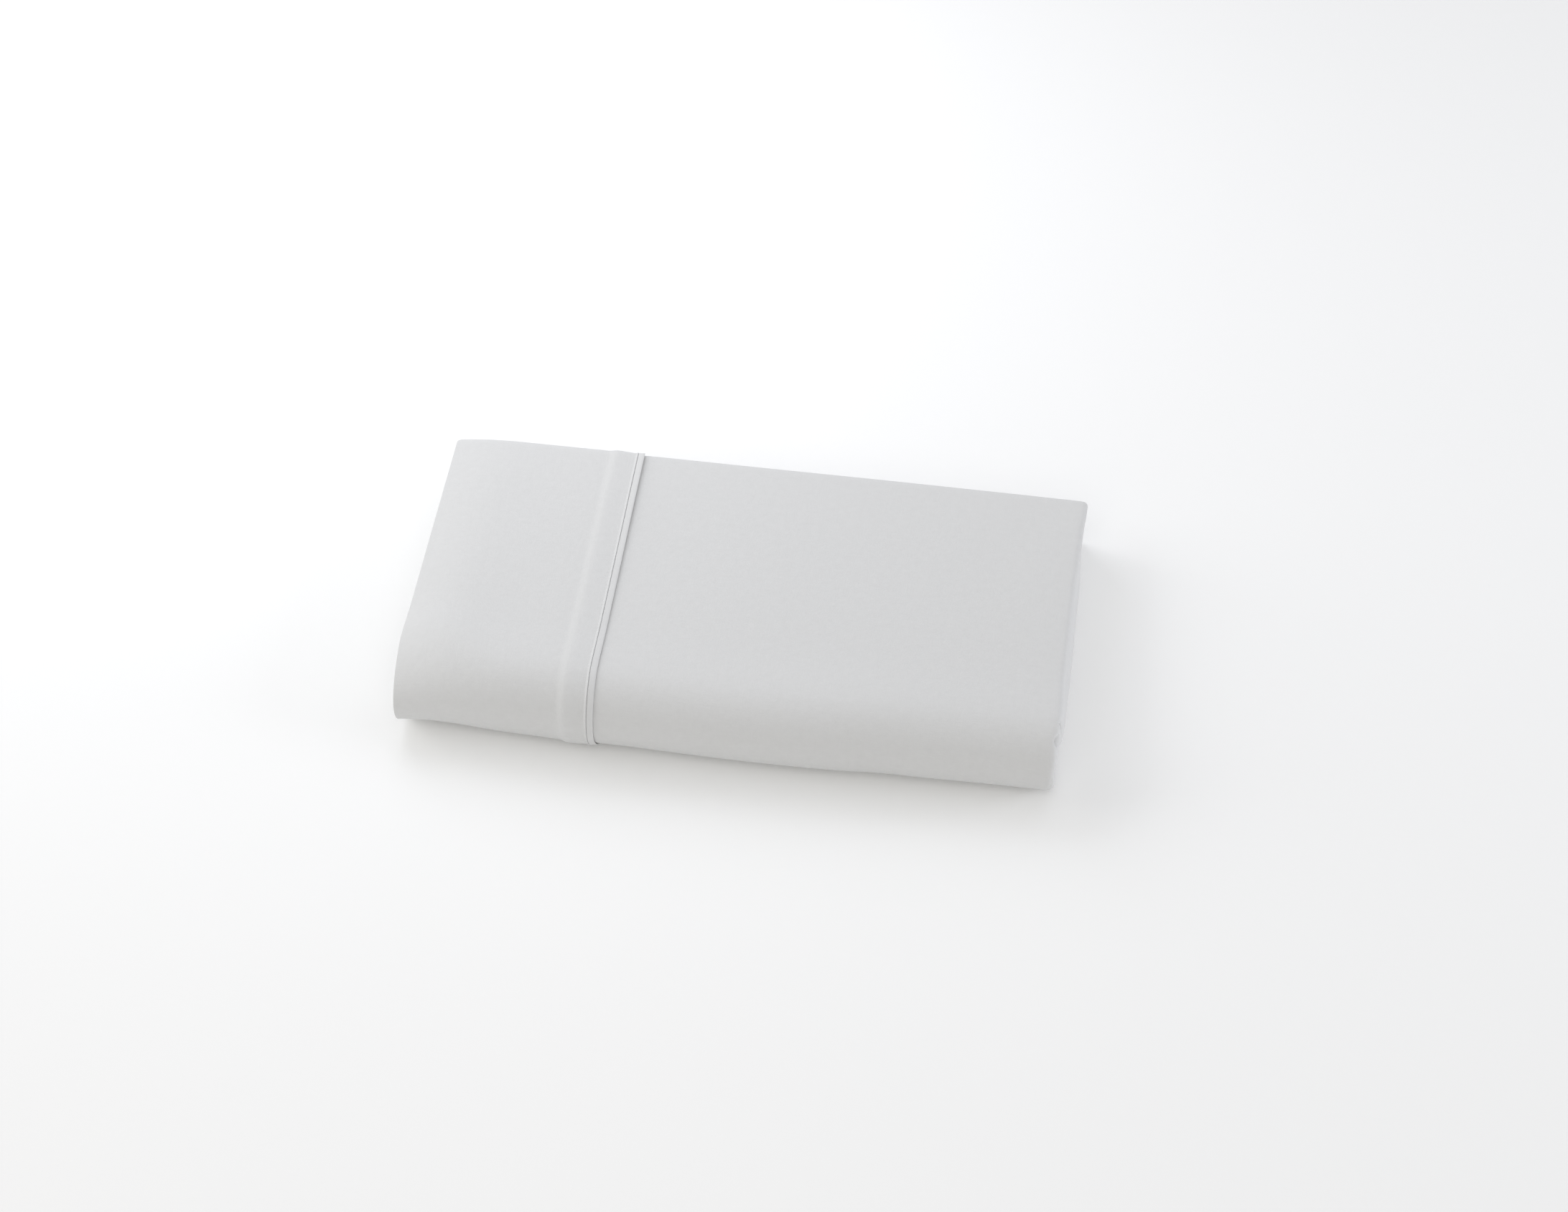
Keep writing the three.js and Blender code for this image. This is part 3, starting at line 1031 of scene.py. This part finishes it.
# Square lamps that all face the packet, in metres and watts
Lamp = namedtuple("Lamp", "name place size power colour")
LAMPS = (
    Lamp("overhead_softbox", (0.5, 0.85, 1.3), 1.4, 2.6, "#f2f5ff"),
    Lamp("back_softbox", (-0.36, 0.44, 0.47), 0.5, 1.7, "#f4f7ff"),
    Lamp("left_softbox", (-1.9, 0.1, 0.8), 1.6, 16, "#ffffff"),
    Lamp("right_softbox", (1.9, 0.2, 0.5), 1.0, 10, "#f2f5ff"),
    Lamp("front_softbox", (0.1, -1.5, 1.5), 1.4, 7, "#fffbf6"),
)
WORLD_STRENGTH = 0.46
FLOOR_GLOW = 0.05
FLOOR_REACH = 6
LOOKS_AT = (0.01725, 0.02573, 0)
SENSOR_WIDTH = 36


class PACKET_OT_studio(bpy.types.Operator):
    """Sets up the pale floor, the soft lights and the camera"""

    bl_idname = "packet.studio"
    bl_label = "Studio"

    def execute(self, context):
        settings = context.scene.packet.studio
        mesh = bpy.data.meshes.new("studio_floor")
        far = FLOOR_REACH
        corners = [(-far, -far, 0), (far, -far, 0), (far, far, 0), (-far, far, 0)]
        mesh.from_pydata(corners, [], [(0, 1, 2, 3)])
        floor = new_object("studio_floor", mesh)
        mesh.materials.append(paper_material("matt_white_paper", settings.floor_colour, FLOOR_GLOW))
        for lamp in LAMPS:
            data = bpy.data.lights.new(lamp.name, "AREA")
            data.size, data.energy, data.color = lamp.size, lamp.power, linear(lamp.colour)
            light = bpy.data.objects.new(lamp.name, data)
            light.location = lamp.place
            light.rotation_euler = (-Vector(lamp.place)).to_track_quat("-Z", "Y").to_euler()
            context.scene.collection.objects.link(light)
        world = bpy.data.worlds.new("white_studio")
        world.use_nodes = True
        world.node_tree.nodes.clear()
        sky = add(world.node_tree, "ShaderNodeBackground", ((0, (1, 1, 1, 1)), (1, WORLD_STRENGTH)))
        add(world.node_tree, "ShaderNodeOutputWorld", ((0, sky.outputs[0]),))
        context.scene.world = world
        context.scene.view_settings.view_transform = "Standard"
        data = bpy.data.cameras.new("camera")
        data.lens = settings.lens
        data.sensor_width, data.sensor_fit = SENSOR_WIDTH, "HORIZONTAL"
        data.clip_start, data.clip_end = 0.05, 50
        camera = bpy.data.objects.new("camera", data)
        level, up = math.cos(settings.pitch), math.sin(settings.pitch)
        back = Vector((math.sin(settings.yaw) * level, -math.cos(settings.yaw) * level, up))
        camera.location = Vector(LOOKS_AT) + back * settings.distance
        camera.rotation_euler = (-back).to_track_quat("-Z", "Y").to_euler()
        context.scene.collection.objects.link(camera)
        context.scene.camera = camera
        return {"FINISHED"}


class PACKET_PT_panel(bpy.types.Panel):
    """Lists the packet's pieces"""

    bl_idname = "PACKET_PT_panel"
    bl_label = "Folded flat sheet"
    bl_space_type = "VIEW_3D"
    bl_region_type = "UI"
    bl_category = "Flat sheet"

    def draw(self, context):
        packet = context.scene.packet
        for operator, settings in (
            (PACKET_OT_cloth, packet.cloth),
            (PACKET_OT_piping, packet.piping),
            (PACKET_OT_stitches, packet.stitches),
            (PACKET_OT_studio, packet.studio),
        ):
            box = self.layout.box()
            box.operator(operator.bl_idname)
            for name in settings.__annotations__:
                box.prop(settings, name)


CLASSES = (
    ClothSettings,
    PipingSettings,
    StitchSettings,
    StudioSettings,
    PacketSettings,
    PACKET_OT_cloth,
    PACKET_OT_piping,
    PACKET_OT_stitches,
    PACKET_OT_studio,
    PACKET_PT_panel,
)


def register():
    for item in CLASSES:
        bpy.utils.register_class(item)
    bpy.types.Scene.packet = PointerProperty(type=PacketSettings)


def unregister():
    del bpy.types.Scene.packet
    for item in reversed(CLASSES):
        bpy.utils.unregister_class(item)


def main():
    register()
    bpy.ops.packet.cloth()
    bpy.ops.packet.piping()
    bpy.ops.packet.stitches()
    bpy.ops.packet.studio()


if __name__ == "__main__":
    main()
